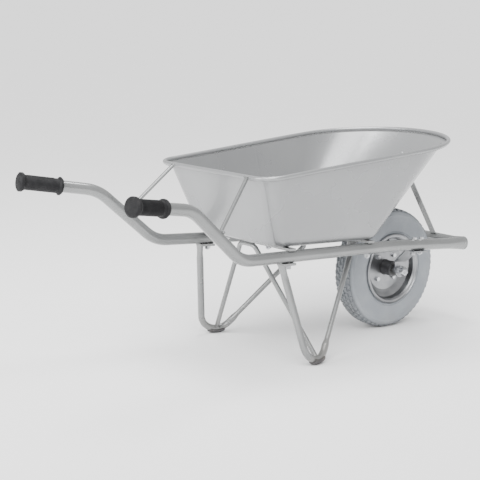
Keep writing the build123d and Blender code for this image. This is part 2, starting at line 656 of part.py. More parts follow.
# ---------------------------------------------------------------- fasteners
TRAY_HEAD_LEVEL = FLOOR_LEVEL + SHEET

with BuildPart() as hex_nut:
    with BuildSketch():
        RegularPolygon(NUT_FLATS / 2, 6, major_radius=False)
        Circle(BOLT_R + RUN_FIT, mode=Mode.SUBTRACT)
    extrude(amount=NUT_H)

with BuildPart() as tray_bolts:
    with Locations(*[spot * Location((0, 0, TRAY_HEAD_LEVEL)) for spot in TRAY_SPOTS]):
        Cone(BOLT_HEAD_R, BOLT_HEAD_R / 2, BOLT_HEAD_H, align=UPWARD)
    for spot, seat in zip(TRAY_SPOTS, TRAY_SEATS):
        with Locations(spot * Location((0, 0, TRAY_HEAD_LEVEL))):
            Cylinder(BOLT_R, TRAY_HEAD_LEVEL - seat + NUT_H + BOLT_R, align=DOWNWARD)
tray_bolts.part.label = "tray_bolts"
export_step(tray_bolts.part, "parts/tray_bolts.step")

with BuildPart() as tray_nuts:
    for spot, seat in zip(TRAY_SPOTS, TRAY_SEATS):
        add(hex_nut.part.moved(spot * Location((0, 0, seat - NUT_H))))
tray_nuts.part.label = "tray_nuts"
export_step(tray_nuts.part, "parts/tray_nuts.step")

with BuildPart() as frame_bolts:
    with Locations(*[spot * Location((0, 0, SUNK_LEVEL)) for spot in FRAME_SPOTS]):
        Cone(BOLT_R, SUNK_HEAD_R, SUNK_HEAD_H, align=DOWNWARD)
    for spot, seat in zip(FRAME_SPOTS, FRAME_SEATS):
        with Locations(spot * Location((0, 0, SUNK_LEVEL))):
            Cylinder(BOLT_R, SUNK_LEVEL - seat + WASHER_H + NUT_H + BOLT_R, align=DOWNWARD)
frame_bolts.part.label = "frame_bolts"
export_step(frame_bolts.part, "parts/frame_bolts.step")

with BuildPart() as frame_washers:
    for spot, seat in zip(FRAME_SPOTS, FRAME_SEATS):
        with Locations(spot * Location((0, 0, seat))):
            Cylinder(WASHER_R, WASHER_H, align=DOWNWARD)
            Cylinder(BOLT_HOLE_R, WASHER_H, align=DOWNWARD, mode=Mode.SUBTRACT)
frame_washers.part.label = "frame_washers"
export_step(frame_washers.part, "parts/frame_washers.step")

with BuildPart() as frame_nuts:
    for spot, seat in zip(FRAME_SPOTS, FRAME_SEATS):
        add(hex_nut.part.moved(spot * Location((0, 0, seat - WASHER_H - NUT_H))))
frame_nuts.part.label = "frame_nuts"
export_step(frame_nuts.part, "parts/frame_nuts.step")

BRACKET_SPOTS = [
    FRONT * Location((step, side * on_nose_run(WHEEL_X + step).Y, 0))
    for step in (-BRACKET_BOLT_SPACING / 2, BRACKET_BOLT_SPACING / 2)
    for side in (1, -1)
]
BRACKET_NUT_LEVEL = FLANGE_LEVEL - BRACKET_THICK - NUT_H
BRACKET_THREAD_END = BRACKET_NUT_LEVEL - BOLT_R

with BuildPart() as bracket_bolts:
    with BuildSketch(*[spot * Location((0, 0, TUBE_R)) for spot in BRACKET_SPOTS]):
        RegularPolygon(NUT_FLATS / 2, 6, major_radius=False)
    extrude(amount=NUT_H)
    with Locations(*[spot * Location((0, 0, BRACKET_THREAD_END)) for spot in BRACKET_SPOTS]):
        Cylinder(BOLT_R, TUBE_R - BRACKET_THREAD_END, align=UPWARD)
bracket_bolts.part.label = "bracket_bolts"
export_step(bracket_bolts.part, "parts/bracket_bolts.step")

with BuildPart() as bracket_nuts:
    for spot in BRACKET_SPOTS:
        add(hex_nut.part.moved(spot * Location((0, 0, BRACKET_NUT_LEVEL))))
bracket_nuts.part.label = "bracket_nuts"
export_step(bracket_nuts.part, "parts/bracket_nuts.step")

STAY_BOLT_END = STAY_THICK + SEAT_GAP + SMALL_NUT_H + SMALL_BOLT_R

with BuildPart() as stay_bolt:
    with Locations(STAY_SPOT * Location((0, 0, -SHEET))):
        Cone(SMALL_HEAD_R / 2, SMALL_HEAD_R, SMALL_HEAD_H, align=DOWNWARD)
        Cylinder(SMALL_BOLT_R, STAY_BOLT_END + SHEET, align=UPWARD)
stay_bolt.part.label = "stay_bolt"
export_step(stay_bolt.part, "parts/stay_bolt.step")

with BuildPart() as stay_nut:
    with BuildSketch(STAY_SPOT * Location((0, 0, SEAT_GAP + STAY_THICK))):
        RegularPolygon(SMALL_NUT_FLATS / 2, 6, major_radius=False)
        Circle(SMALL_BOLT_R + RUN_FIT, mode=Mode.SUBTRACT)
    extrude(amount=SMALL_NUT_H)
stay_nut.part.label = "stay_nut"
export_step(stay_nut.part, "parts/stay_nut.step")

# ---------------------------------------------------------------- axle
AXLE_ROW = [Location((WHEEL_X, 0, TYRE_R), (-90 * side, 0, 0)) for side in (1, -1)]
BEARING_FACE = HUB_HALF - SEAL_DEPTH
WASHER_FACE = BRACKET_INNER + BRACKET_THICK
NUT_FACE = WASHER_FACE + 2 * WASHER_H

with BuildPart() as axle:
    with Locations(Location((WHEEL_X, 0, TYRE_R), (90, 0, 0))):
        Cylinder(AXLE_R, 2 * AXLE_HALF)
    chamfer(axle.edges().filter_by(GeomType.CIRCLE), AXLE_CHAMFER)
axle.part.label = "axle"
export_step(axle.part, "parts/axle.step")

with BuildPart() as axle_spacers:
    with Locations(*[spot * Location((0, 0, BEARING_FACE)) for spot in AXLE_ROW]):
        Cylinder(SPACER_R, BRACKET_INNER - BEARING_FACE, align=UPWARD)
    with Locations(Location((WHEEL_X, 0, TYRE_R), (90, 0, 0))):
        Cylinder(INNER_RACE_R, 2 * (BEARING_FACE - BEARING_WIDTH))
        Cylinder(AXLE_R + RUN_FIT, 4 * AXLE_HALF, mode=Mode.SUBTRACT)
axle_spacers.part.label = "axle_spacers"
export_step(axle_spacers.part, "parts/axle_spacers.step")

with BuildPart() as axle_washers:
    with Locations(*[spot * Location((0, 0, WASHER_FACE)) for spot in AXLE_ROW]):
        Cylinder(AXLE_WASHER_R, 2 * WASHER_H, align=UPWARD)
        Cylinder(AXLE_R + RUN_FIT, 2 * WASHER_H, align=UPWARD, mode=Mode.SUBTRACT)
axle_washers.part.label = "axle_washers"
export_step(axle_washers.part, "parts/axle_washers.step")

with BuildPart() as axle_nuts:
    with BuildSketch(*[spot * Location((0, 0, NUT_FACE)) for spot in AXLE_ROW]):
        RegularPolygon(AXLE_NUT_FLATS / 2, 6, major_radius=False)
        Circle(AXLE_R + RUN_FIT, mode=Mode.SUBTRACT)
    extrude(amount=AXLE_NUT_H)
axle_nuts.part.label = "axle_nuts"
export_step(axle_nuts.part, "parts/axle_nuts.step")

# ---------------------------------------------------------------- bearings
BEARING_START = BEARING_FACE - BEARING_WIDTH
RACE_ROW = [spot * Location((0, 0, BEARING_START)) for spot in AXLE_ROW]

with BuildPart() as bearing_inner_races:
    with Locations(*RACE_ROW):
        Cylinder(INNER_RACE_R, BEARING_WIDTH, align=UPWARD)
        Cylinder(AXLE_R + RUN_FIT, BEARING_WIDTH, align=UPWARD, mode=Mode.SUBTRACT)
bearing_inner_races.part.label = "bearing_inner_races"
export_step(bearing_inner_races.part, "parts/bearing_inner_races.step")

with BuildPart() as bearing_outer_races:
    with Locations(*RACE_ROW):
        Cylinder(BEARING_R - RUN_FIT, BEARING_WIDTH, align=UPWARD)
        Cylinder(OUTER_RACE_R, BEARING_WIDTH, align=UPWARD, mode=Mode.SUBTRACT)
bearing_outer_races.part.label = "bearing_outer_races"
export_step(bearing_outer_races.part, "parts/bearing_outer_races.step")

with BuildPart() as bearing_balls:
    for spot in RACE_ROW:
        with Locations(spot * Location((0, 0, BEARING_WIDTH / 2))):
            with PolarLocations(BALL_CIRCLE_R, BALL_COUNT):
                Sphere((OUTER_RACE_R - INNER_RACE_R) / 2 - RUN_FIT)
bearing_balls.part.label = "bearing_balls"
export_step(bearing_balls.part, "parts/bearing_balls.step")

with BuildPart() as hub_seals:
    with Locations(*[spot * Location((0, 0, BEARING_FACE)) for spot in AXLE_ROW]):
        Cylinder(BEARING_R - RUN_FIT, SEAL_DEPTH, align=UPWARD)
        Cylinder(SPACER_R + SEAL_GAP, SEAL_DEPTH, align=UPWARD, mode=Mode.SUBTRACT)
hub_seals.part.label = "hub_seals"
export_step(hub_seals.part, "parts/hub_seals.step")

# ---------------------------------------------------------------- hub and rim
BOLT_RING = Plane(origin=(WHEEL_X, 0, TYRE_R), x_dir=(0, 0, 1), z_dir=(0, -1, 0))
WELL_EDGE = Vector(RIM_WELL_R, HUB_PLATE_HALF + RIM_WELL_RISE)
SEAT_EDGE = Vector(BEAD_SEAT_R - BEAD_SEAT_FALL, BEAD_SEAT_HALF)
WELL_MIDDLE = (WELL_EDGE + SEAT_EDGE) * 0.5
WELL_SLOPE = SEAT_EDGE - WELL_EDGE
VALVE_SEAT = Plane(
    origin=(WHEEL_X, -WELL_MIDDLE.Y, TYRE_R + WELL_MIDDLE.X),
    z_dir=(0, -WELL_SLOPE.X, -WELL_SLOPE.Y),
).location

with BuildPart() as hub:
    with BuildSketch(WHEEL_PROFILE):
        with BuildLine():
            Polyline(
                (HUB_BORE_R, 0),
                (HUB_BORE_R, BEARING_START),
                (BEARING_R, BEARING_START),
                (BEARING_R, HUB_HALF),
                (HUB_R, HUB_HALF),
                (HUB_R, HUB_PLATE_HALF),
                (HUB_PLATE_R, HUB_PLATE_HALF),
                (HUB_PLATE_R, 0),
                close=True,
            )
        make_face()
        mirror(about=Plane.XZ)
    revolve(axis=WHEEL_AXIS)
    with Locations(BOLT_RING.location):
        with PolarLocations(RIM_BOLT_CIRCLE_R, RIM_BOLT_COUNT, start_angle=45):
            Cylinder(BOLT_HOLE_R, 4 * HUB_PLATE_HALF, mode=Mode.SUBTRACT)
hub.part.label = "hub"
export_step(hub.part, "parts/hub.step")

with BuildPart() as left_rim_half:
    with BuildSketch(WHEEL_PROFILE):
        with BuildLine():
            Polyline(
                (HUB_R + RIM_BORE_GAP, HUB_PLATE_HALF + SEAT_GAP),
                (RIM_WELL_EDGE_R, HUB_PLATE_HALF + SEAT_GAP),
                (WELL_EDGE.X, WELL_EDGE.Y),
                (SEAT_EDGE.X, SEAT_EDGE.Y),
                (BEAD_SEAT_R, RIM_LIP_HALF - RIM_LIP_TURN),
                (BEAD_SEAT_R + RIM_LIP_TURN, RIM_LIP_HALF),
                (RIM_LIP_R - RIM_LIP_TURN, RIM_LIP_HALF + 1),
                (RIM_LIP_R - 1, RIM_LIP_HALF + RIM_LIP_TURN),
            )
            offset(amount=RIM_SHEET, side=Side.LEFT)
        make_face()
    revolve(axis=WHEEL_AXIS)
    with Locations(BOLT_RING.location):
        with PolarLocations(RIM_BOLT_CIRCLE_R, RIM_BOLT_COUNT, start_angle=45):
            Cylinder(BOLT_HOLE_R, 4 * HUB_PLATE_HALF, mode=Mode.SUBTRACT)
left_rim_half.part.label = "left_rim_half"

with BuildPart() as right_rim_half:
    add(mirror(left_rim_half.part, about=Plane.XZ))
    with Locations(VALVE_SEAT):
        Cylinder(VALVE_R + RUN_FIT, 8 * RIM_SHEET, mode=Mode.SUBTRACT)
right_rim_half.part.label = "right_rim_half"
export_step(left_rim_half.part, "parts/left_rim_half.step")
export_step(right_rim_half.part, "parts/right_rim_half.step")

RIM_STACK = HUB_PLATE_HALF + SEAT_GAP + RIM_SHEET
with BuildPart() as rim_bolts:
    with Locations(BOLT_RING.location):
        with PolarLocations(RIM_BOLT_CIRCLE_R, RIM_BOLT_COUNT, start_angle=45):
            Cylinder(BOLT_R, 2 * (RIM_STACK + NUT_H + 1))
    with BuildSketch(BOLT_RING.offset(RIM_STACK)):
        with PolarLocations(RIM_BOLT_CIRCLE_R, RIM_BOLT_COUNT, start_angle=45):
            RegularPolygon(NUT_FLATS / 2, 6, major_radius=False)
    extrude(amount=NUT_H + 1)
rim_bolts.part.label = "rim_bolts"
export_step(rim_bolts.part, "parts/rim_bolts.step")

with BuildPart() as rim_nuts:
    with BuildSketch(BOLT_RING.offset(-RIM_STACK)):
        with PolarLocations(RIM_BOLT_CIRCLE_R, RIM_BOLT_COUNT, start_angle=45):
            RegularPolygon(NUT_FLATS / 2, 6, major_radius=False)
            Circle(BOLT_R + RUN_FIT, mode=Mode.SUBTRACT)
    extrude(amount=-NUT_H)
rim_nuts.part.label = "rim_nuts"
export_step(rim_nuts.part, "parts/rim_nuts.step")

# ---------------------------------------------------------------- tyre and valve
with BuildPart() as tyre:
    with BuildSketch(WHEEL_PROFILE):
        with BuildLine():
            bead_in = TYRE_BEAD_HALF
            bead_out = RIM_LIP_HALF - RIM_LIP_TURN
            outer_bead = (RIM_LIP_R - RIM_LIP_TURN, bead_out - 1)
            inner_bead = (RIM_LIP_R - 2, bead_in + 2)
            shoulder = (TYRE_SHOULDER_R, TYRE_SHOULDER_HALF)
            inner_shoulder = (TYRE_SHOULDER_R - 8, TYRE_SHOULDER_HALF - 8)
            Polyline(
                inner_bead,
                (BEAD_SEAT_R + SEAT_GAP, bead_in),
                (BEAD_SEAT_R + SEAT_GAP, bead_out),
                outer_bead,
            )
            ThreePointArc(outer_bead, (TYRE_WIDEST_R, TYRE_HALF), shoulder)
            ThreePointArc(shoulder, (TYRE_R, 0), (shoulder[0], -shoulder[1]))
            ThreePointArc(
                (shoulder[0], -shoulder[1]),
                (TYRE_WIDEST_R, -TYRE_HALF),
                (outer_bead[0], -outer_bead[1]),
            )
            Polyline(
                (outer_bead[0], -outer_bead[1]),
                (BEAD_SEAT_R + SEAT_GAP, -bead_out),
                (BEAD_SEAT_R + SEAT_GAP, -bead_in),
                (inner_bead[0], -inner_bead[1]),
            )
            ThreePointArc(
                (inner_bead[0], -inner_bead[1]),
                (TYRE_WIDEST_R, TYRE_WALL - TYRE_HALF),
                (inner_shoulder[0], -inner_shoulder[1]),
            )
            ThreePointArc(
                (inner_shoulder[0], -inner_shoulder[1]),
                (TYRE_R - TYRE_CROWN_WALL, 0),
                inner_shoulder,
            )
            ThreePointArc(inner_shoulder, (TYRE_WIDEST_R, TYRE_HALF - TYRE_WALL), inner_bead)
        make_face()
    revolve(axis=WHEEL_AXIS)
tyre.part.label = "tyre"
export_step(tyre.part, "parts/tyre.step")

with BuildPart() as valve_stem:
    with Locations(VALVE_SEAT):
        Cylinder(VALVE_R, VALVE_LENGTH, align=UPWARD)
    with Locations(VALVE_SEAT * Location((0, 0, -SEAT_GAP))):
        Cylinder(VALVE_R, SEAT_GAP, align=UPWARD)
        Cylinder(VALVE_FOOT_R, VALVE_FOOT_H, align=DOWNWARD)
valve_stem.part.label = "valve_stem"
export_step(valve_stem.part, "parts/valve_stem.step")

with BuildPart() as valve_cap:
    with Locations(VALVE_SEAT * Location((0, 0, VALVE_LENGTH + SEAT_GAP))):
        Cylinder(VALVE_CAP_R, VALVE_CAP_H, align=UPWARD)
valve_cap.part.label = "valve_cap"
export_step(valve_cap.part, "parts/valve_cap.step")
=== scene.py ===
"""Builder's wheelbarrow: materials, fine detail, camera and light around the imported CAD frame.

Metres. +X runs forward to the wheel, +Y to the pusher's left, +Z up.
"""

import json
import logging
import math
from dataclasses import dataclass
from enum import Enum
from typing import Any, Iterable, Sequence

import bmesh
import bpy
import numpy as np
from mathutils import Matrix, Vector


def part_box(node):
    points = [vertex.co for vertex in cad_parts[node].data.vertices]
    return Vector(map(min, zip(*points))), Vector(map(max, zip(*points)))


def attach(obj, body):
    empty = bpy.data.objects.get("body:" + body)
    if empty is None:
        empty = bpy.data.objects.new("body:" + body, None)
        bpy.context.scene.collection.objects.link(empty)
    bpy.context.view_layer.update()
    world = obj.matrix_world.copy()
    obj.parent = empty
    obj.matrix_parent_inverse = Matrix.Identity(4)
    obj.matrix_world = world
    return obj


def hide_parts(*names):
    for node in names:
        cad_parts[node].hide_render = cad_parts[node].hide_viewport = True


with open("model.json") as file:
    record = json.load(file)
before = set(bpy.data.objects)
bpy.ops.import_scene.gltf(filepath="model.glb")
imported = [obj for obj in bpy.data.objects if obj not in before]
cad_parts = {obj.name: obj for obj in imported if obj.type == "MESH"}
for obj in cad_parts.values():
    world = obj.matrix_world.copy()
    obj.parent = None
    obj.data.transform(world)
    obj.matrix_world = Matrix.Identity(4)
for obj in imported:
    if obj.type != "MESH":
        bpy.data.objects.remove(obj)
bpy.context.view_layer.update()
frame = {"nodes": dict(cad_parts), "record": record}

logging.basicConfig(level=logging.INFO, format="%(message)s")
log = logging.getLogger("wheelbarrow")

Colour = tuple[float, float, float]

DUST_COLOUR: Colour = (0.33, 0.29, 0.24)
DUST_TOP = 0.16
TURNING_LINES = 9000.0
CREASE_X = 0.130
CREASE_HALF = 0.006
LAP_X = -0.150
LAP_LEVEL = 0.352
LAP_LEAN = 0.42
LAP_HALF = 0.005


class Body(Enum):
    """The two rigid bodies of the barrow."""

    BARROW = "barrow"
    WHEEL = "wheel"


class Relief(Enum):
    """Kinds of fine surface relief."""

    PLAIN = "plain"
    TURNED = "turned"
    SHEET = "sheet"
    TYRE = "tyre"
    GRIP = "grip"


# ---------------------------------------------------------------- shader graph
class Wire:
    """One shader socket that can be used in arithmetic."""

    def __init__(self, graph: "Graph", socket: Any) -> None:
        self.graph = graph
        self.socket = socket

    def _math(self, operation: str, *values: Any) -> "Wire":
        return self.graph.node("ShaderNodeMath", list(values), settings={"operation": operation})

    def __add__(self, other: Any) -> "Wire":
        return self._math("ADD", self, other)

    def __radd__(self, other: Any) -> "Wire":
        return self._math("ADD", other, self)

    def __sub__(self, other: Any) -> "Wire":
        return self._math("SUBTRACT", self, other)

    def __rsub__(self, other: Any) -> "Wire":
        return self._math("SUBTRACT", other, self)

    def __mul__(self, other: Any) -> "Wire":
        return self._math("MULTIPLY", self, other)

    def __rmul__(self, other: Any) -> "Wire":
        return self._math("MULTIPLY", other, self)

    def __truediv__(self, other: Any) -> "Wire":
        return self._math("DIVIDE", self, other)

    def __rtruediv__(self, other: Any) -> "Wire":
        return self._math("DIVIDE", other, self)

    def __pow__(self, other: Any) -> "Wire":
        return self._math("POWER", self, other)

    def absolute(self) -> "Wire":
        """Size without its sign."""
        return self._math("ABSOLUTE", self)

    def sine(self) -> "Wire":
        """Sine of an angle in radians."""
        return self._math("SINE", self)

    def step(self, low: float, high: float) -> "Wire":
        """Smooth step from 0 at low to 1 at high.

        Args:
            low: Value that gives 0.
            high: Value that gives 1, below low for a falling step.
        Returns:
            The step as a wire.
        """
        settings = {"interpolation_type": "SMOOTHSTEP", "clamp": True}
        if low < high:
            return self.graph.node("ShaderNodeMapRange", [self, low, high, 0.0, 1.0], settings=settings)
        return self.graph.node("ShaderNodeMapRange", [self, high, low, 1.0, 0.0], settings=settings)


class Graph:
    """Node tree of one material."""

    def __init__(self, material: bpy.types.Material) -> None:
        material.use_nodes = True
        self.tree = material.node_tree
        self.tree.nodes.clear()

    def node(
        self,
        kind: str,
        inputs: Any = (),
        output: int = 0,
        settings: dict[str, Any] | None = None,
    ) -> Wire:
        """Adds a node.

        Args:
            kind: Blender's node type.
            inputs: Values or wires, by place in a list or by name or number in a dict.
            output: Number of the output that is returned.
            settings: Properties set before the sockets.
        Returns:
            The chosen output.
        """
        made = self.tree.nodes.new(kind)
        for name, value in (settings or {}).items():
            setattr(made, name, value)
        pairs = inputs.items() if isinstance(inputs, dict) else enumerate(inputs)
        for key, value in pairs:
            if isinstance(value, Wire):
                self.tree.links.new(value.socket, made.inputs[key])
            else:
                made.inputs[key].default_value = value
        return Wire(self, made.outputs[output] if made.outputs else None)

    def mix(self, share: Any, first: Any, second: Any) -> Wire:
        """Mixes two colours.

        Args:
            share: 0 gives the first colour and 1 the second.
            first: Colour as four numbers or a wire.
            second: Colour as four numbers or a wire.
        Returns:
            The mixed colour.
        """
        return self.node("ShaderNodeMix", {0: share, 6: first, 7: second}, 2, {"data_type": "RGBA"})

    def noise(self, place: Wire, scale: float, detail: float = 3.0) -> Wire:
        """Soft noise between 0 and 1.

        Args:
            place: Coordinates in metres.
            scale: Spots per metre.
            detail: Number of finer layers.
        Returns:
            The noise as a wire.
        """
        return self.node("ShaderNodeTexNoise", {"Vector": place, "Scale": scale, "Detail": detail})

    def parts(self, place: Wire) -> tuple[Wire, Wire, Wire]:
        """Splits coordinates into X, Y and Z."""
        split = self.tree.nodes.new("ShaderNodeSeparateXYZ")
        self.tree.links.new(place.socket, split.inputs[0])
        return tuple(Wire(self, socket) for socket in split.outputs)


@dataclass(frozen=True)
class Finish:
    """Look of one material slot of the record."""

    slot: str
    colour: Colour
    tint: Colour
    roughness: float
    spread: float = 0.1
    metallic: float = 0.0
    coat: float = 0.0
    mottle: float = 6.0
    grain: float = 300.0
    depth: float = 0.0002
    worn_and_shade: Colour = (0.3, 0.3, 0.3)
    wear: float = 0.3
    soil: float = 0.25
    specular: float = 0.5
    relief: Relief = Relief.PLAIN

    def material(self) -> bpy.types.Material:
        """Builds the procedural material.

        Returns:
            A Blender material named after the slot.
        """
        made = bpy.data.materials.new(self.slot)
        graph = Graph(made)
        place = graph.node("ShaderNodeTexCoord", output=3)
        _, y, z = graph.parts(place)
        slow = graph.noise(place, self.mottle, 4.0)
        fine = graph.noise(place, self.grain, 2.0)
        streaks = graph.node("ShaderNodeMapping", {"Vector": place, "Scale": (4.0, 60.0, 60.0)})
        scratch = graph.noise(streaks, 5.0, 6.0).step(0.66, 0.72)
        speck = graph.noise(place, 45.0, 5.0).step(0.70, 0.74) * self.wear
        dust = z.step(DUST_TOP, 0.0) * graph.noise(place, 14.0, 5.0).step(0.35, 0.75) * self.soil
        colour = graph.mix(slow.step(0.3, 0.7), (*self.colour, 1), (*self.tint, 1))
        height = fine * 0.5 + scratch * -0.15 * self.wear
        if self.relief is Relief.TURNED:
            rings = ((y * TURNING_LINES).sine() * 0.5 + 0.5) * 0.3
            height = height + rings
        if self.relief is Relief.SHEET:
            height, painted_crease_shade = self._sheet(graph, place, height)
            # Painted shade: the crease and lap lines are tinted towards the colour also used for wear marks.
            colour = graph.mix(painted_crease_shade, colour, (*self.worn_and_shade, 1))
        if self.relief is Relief.TYRE:
            height, colour = self._tyre(graph, place, height, colour)
        if self.relief is Relief.GRIP:
            knurl = graph.node("ShaderNodeTexVoronoi", {"Vector": place, "Scale": 420.0})
            height = height + knurl * 0.8
        colour = graph.mix(speck, colour, (*self.worn_and_shade, 1))
        colour = graph.mix(dust, colour, (*DUST_COLOUR, 1))
        rough = slow * self.spread + (self.roughness - self.spread / 2) + speck * 0.25 + dust * 0.4
        bump = graph.node(
            "ShaderNodeBump",
            {"Strength": 1.0, "Distance": self.depth, "Height": height},
        )
        shader = graph.node(
            "ShaderNodeBsdfPrincipled",
            {
                "Base Color": colour,
                "Roughness": rough,
                "Metallic": self.metallic,
                "Coat Weight": self.coat,
                "Coat Roughness": 0.08,
                "Specular IOR Level": self.specular,
                "Normal": bump,
            },
        )
        graph.node("ShaderNodeOutputMaterial", [shader])
        return made

    def _sheet(self, graph: Graph, place: Wire, height: Wire) -> tuple[Wire, Wire]:
        """Slow waves and drawn creases of a pressed sheet: relief, and a faint painted shade along the crease
        and lap lines.
        """
        waves = graph.noise(place, 4.0, 0.0) * 5.0
        x, y, z = graph.parts(place)
        crease = (x - CREASE_X).absolute().step(CREASE_HALF, 0.0) * y.step(0.10, 0.14)
        lap_line = x - LAP_X - (LAP_LEVEL - z) * LAP_LEAN
        lap = lap_line.absolute().step(LAP_HALF, 0.0) * y.step(-0.15, -0.17)
        bent = crease * 2.5 + lap * 3.0
        # The second value is a painted shade along the crease and lap lines.
        return height + waves + bent, (crease + lap) * 0.10

    def _tyre(self, graph: Graph, place: Wire, height: Wire, colour: Wire) -> tuple[Wire, Wire]:
        """Moulded rings on the sidewalls and a tread painted darker in patches."""
        low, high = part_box("tyre")
        middle = (low + high) / 2
        x, _, z = graph.parts(place)
        radius = ((x - middle.x) ** 2.0 + (z - middle.z) ** 2.0) ** 0.5
        rings = (radius * 1400.0).sine() * radius.step(0.150, 0.156) * radius.step(0.180, 0.176)
        tread = radius.step(0.184, 0.191)
        patch = graph.noise(place, 40.0, 5.0)
        colour = graph.mix(tread * (patch * 0.5 + 0.4), colour, (*self.worn_and_shade, 1))
        return height + rings * 0.8 + tread * patch, colour


FINISHES = (
    Finish("frame_paint", (0.22, 0.225, 0.225), (0.26, 0.265, 0.265), 0.25, metallic=0.6, coat=0.35,
           relief=Relief.SHEET, depth=0.00012, worn_and_shade=(0.30, 0.30, 0.30), wear=0.25),
    Finish("tray_paint", (0.27, 0.275, 0.28), (0.31, 0.315, 0.32), 0.28, metallic=0.5, coat=0.3, mottle=3.0,
           relief=Relief.SHEET, depth=0.00025, worn_and_shade=(0.27, 0.27, 0.28), wear=0.12, soil=0.1),
    Finish("grip_rubber", (0.008, 0.008, 0.009), (0.016, 0.016, 0.017), 0.62, mottle=60.0, relief=Relief.GRIP,
           depth=0.0004, worn_and_shade=(0.05, 0.05, 0.05), wear=0.4, soil=0.0, specular=0.2),
    Finish("shoe_plastic", (0.045, 0.045, 0.05), (0.07, 0.07, 0.075), 0.6, wear=0.8, worn_and_shade=(0.2, 0.19, 0.18),
           specular=0.3),
    Finish("plated_steel", (0.26, 0.265, 0.275), (0.33, 0.335, 0.345), 0.32, 0.12, 1.0, mottle=30.0,
           depth=0.0001, worn_and_shade=(0.36, 0.34, 0.31)),
    Finish("fastener_zinc", (0.66, 0.67, 0.69), (0.56, 0.57, 0.58), 0.30, 0.12, 1.0, mottle=80.0,
           depth=0.0001, worn_and_shade=(0.35, 0.33, 0.30)),
    Finish("axle_steel", (0.45, 0.46, 0.48), (0.36, 0.37, 0.39), 0.32, 0.12, 1.0, mottle=60.0,
           relief=Relief.TURNED, depth=0.0001),
    Finish("hub_steel", (0.035, 0.035, 0.038), (0.055, 0.055, 0.058), 0.40, coat=0.2, mottle=25.0,
           worn_and_shade=(0.25, 0.25, 0.26), wear=0.5),
    Finish("seal_rubber", (0.03, 0.03, 0.03), (0.05, 0.05, 0.05), 0.6, mottle=90.0),
    Finish("tyre_rubber", (0.26, 0.28, 0.305), (0.33, 0.35, 0.375), 0.55, mottle=9.0, relief=Relief.TYRE,
           depth=0.0004, worn_and_shade=(0.16, 0.17, 0.18), wear=0.2, soil=0.2, specular=0.35),
)
MATERIALS = {finish.slot: finish.material() for finish in FINISHES}


# ---------------------------------------------------------------- geometry helpers
def add_piece(
    name: str,
    mesh: bpy.types.Mesh,
    slot: str,
    body: Body,
    stands_for: Sequence[str] = (),
    smooth: float = 35.0,
) -> bpy.types.Object:
    """Puts a finished mesh in the scene as a piece.

    Args:
        name: Name of the piece.
        mesh: Mesh whose place is already in its vertices.
        slot: Material slot of the record.
        body: Body that the piece moves with.
        stands_for: CAD nodes that the piece replaces.
        smooth: Angle in degrees up to which edges are shaded smooth.
    Returns:
        The new object.
    """
    mesh.materials.clear()
    mesh.materials.append(MATERIALS[slot])
    mesh.name = name
    made = bpy.data.objects.new(name, mesh)
    bpy.context.scene.collection.objects.link(made)
    shell = bmesh.new()
    shell.from_mesh(mesh)
    bmesh.ops.remove_doubles(shell, verts=shell.verts, dist=1e-6)
    bmesh.ops.recalc_face_normals(shell, faces=shell.faces)
    for edge in shell.edges:
        edge.smooth = len(edge.link_faces) == 2 and edge.calc_face_angle(0.0) < math.radians(smooth)
    for face in shell.faces:
        face.smooth = True
    shell.to_mesh(mesh)
    shell.free()
    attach(made, body.value)
    if stands_for:
        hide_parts(*stands_for)
    log.info("%s: %d faces, on %s", name, len(mesh.polygons), body.value)
    return made


def mesh_of(points: Iterable[Sequence[float]], faces: Iterable[Sequence[int]], name: str) -> bpy.types.Mesh:
    """Makes a mesh from points and faces."""
    mesh = bpy.data.meshes.new(name)
    mesh.from_pydata([tuple(point) for point in points], [], [tuple(face) for face in faces])
    return mesh


def joined(meshes: Sequence[bpy.types.Mesh], name: str) -> bpy.types.Mesh:
    """Joins several meshes into one."""
    shell = bmesh.new()
    for mesh in meshes:
        shell.from_mesh(mesh)
    made = bpy.data.meshes.new(name)
    shell.to_mesh(made)
    shell.free()
    return made


def ring_faces(step: int, steps: int, count: int) -> list[tuple[int, int, int, int]]:
    """Faces between one profile and the next of a closed turn, with count corners in each profile."""
    here = step * count
    ahead = (step + 1) % steps * count
    faces = []
    for k in range(count):
        following = (k + 1) % count
        faces.append((here + k, here + following, ahead + following, ahead + k))
    return faces


def turned(profile: Sequence[tuple[float, float]], steps: int, place: Matrix, name: str) -> bpy.types.Mesh:
    """Turns a closed profile about local Z.

    Args:
        profile: Corners as (radius, height), closed from the last to the first.
        steps: Number of sectors.
        place: Matrix that carries local Z onto the real axis.
        name: Name of the mesh.
    Returns:
        The turned mesh.
    """
    points = []
    faces = []
    count = len(profile)
    for step in range(steps):
        angle = 2 * math.pi * step / steps
        for radius, height in profile:
            points.append(place @ Vector((radius * math.cos(angle), radius * math.sin(angle), height)))
        faces.extend(ring_faces(step, steps, count))
    return mesh_of(points, faces, name)


@dataclass
class Solid:
    """One separate solid of a CAD node: its middle, main axis and sizes."""

    middle: Vector
    axis: Vector
    height: float
    radius: float

    def matrix(self) -> Matrix:
        """Matrix that carries local Z onto the solid's axis, at its middle."""
        return Matrix.Translation(self.middle) @ self.axis.to_track_quat("Z", "Y").to_matrix().to_4x4()


def islands_of(shell: bmesh.types.BMesh) -> list[list[bmesh.types.BMFace]]:
    """Groups a mesh's faces into separate closed shells."""
    left = set(shell.faces)
    islands = []
    while left:
        stack = [left.pop()]
        island = []
        while stack:
            face = stack.pop()
            island.append(face)
            for edge in face.edges:
                fresh = [other for other in edge.link_faces if other in left]
                left.difference_update(fresh)
                stack.extend(fresh)
        islands.append(island)
    return islands


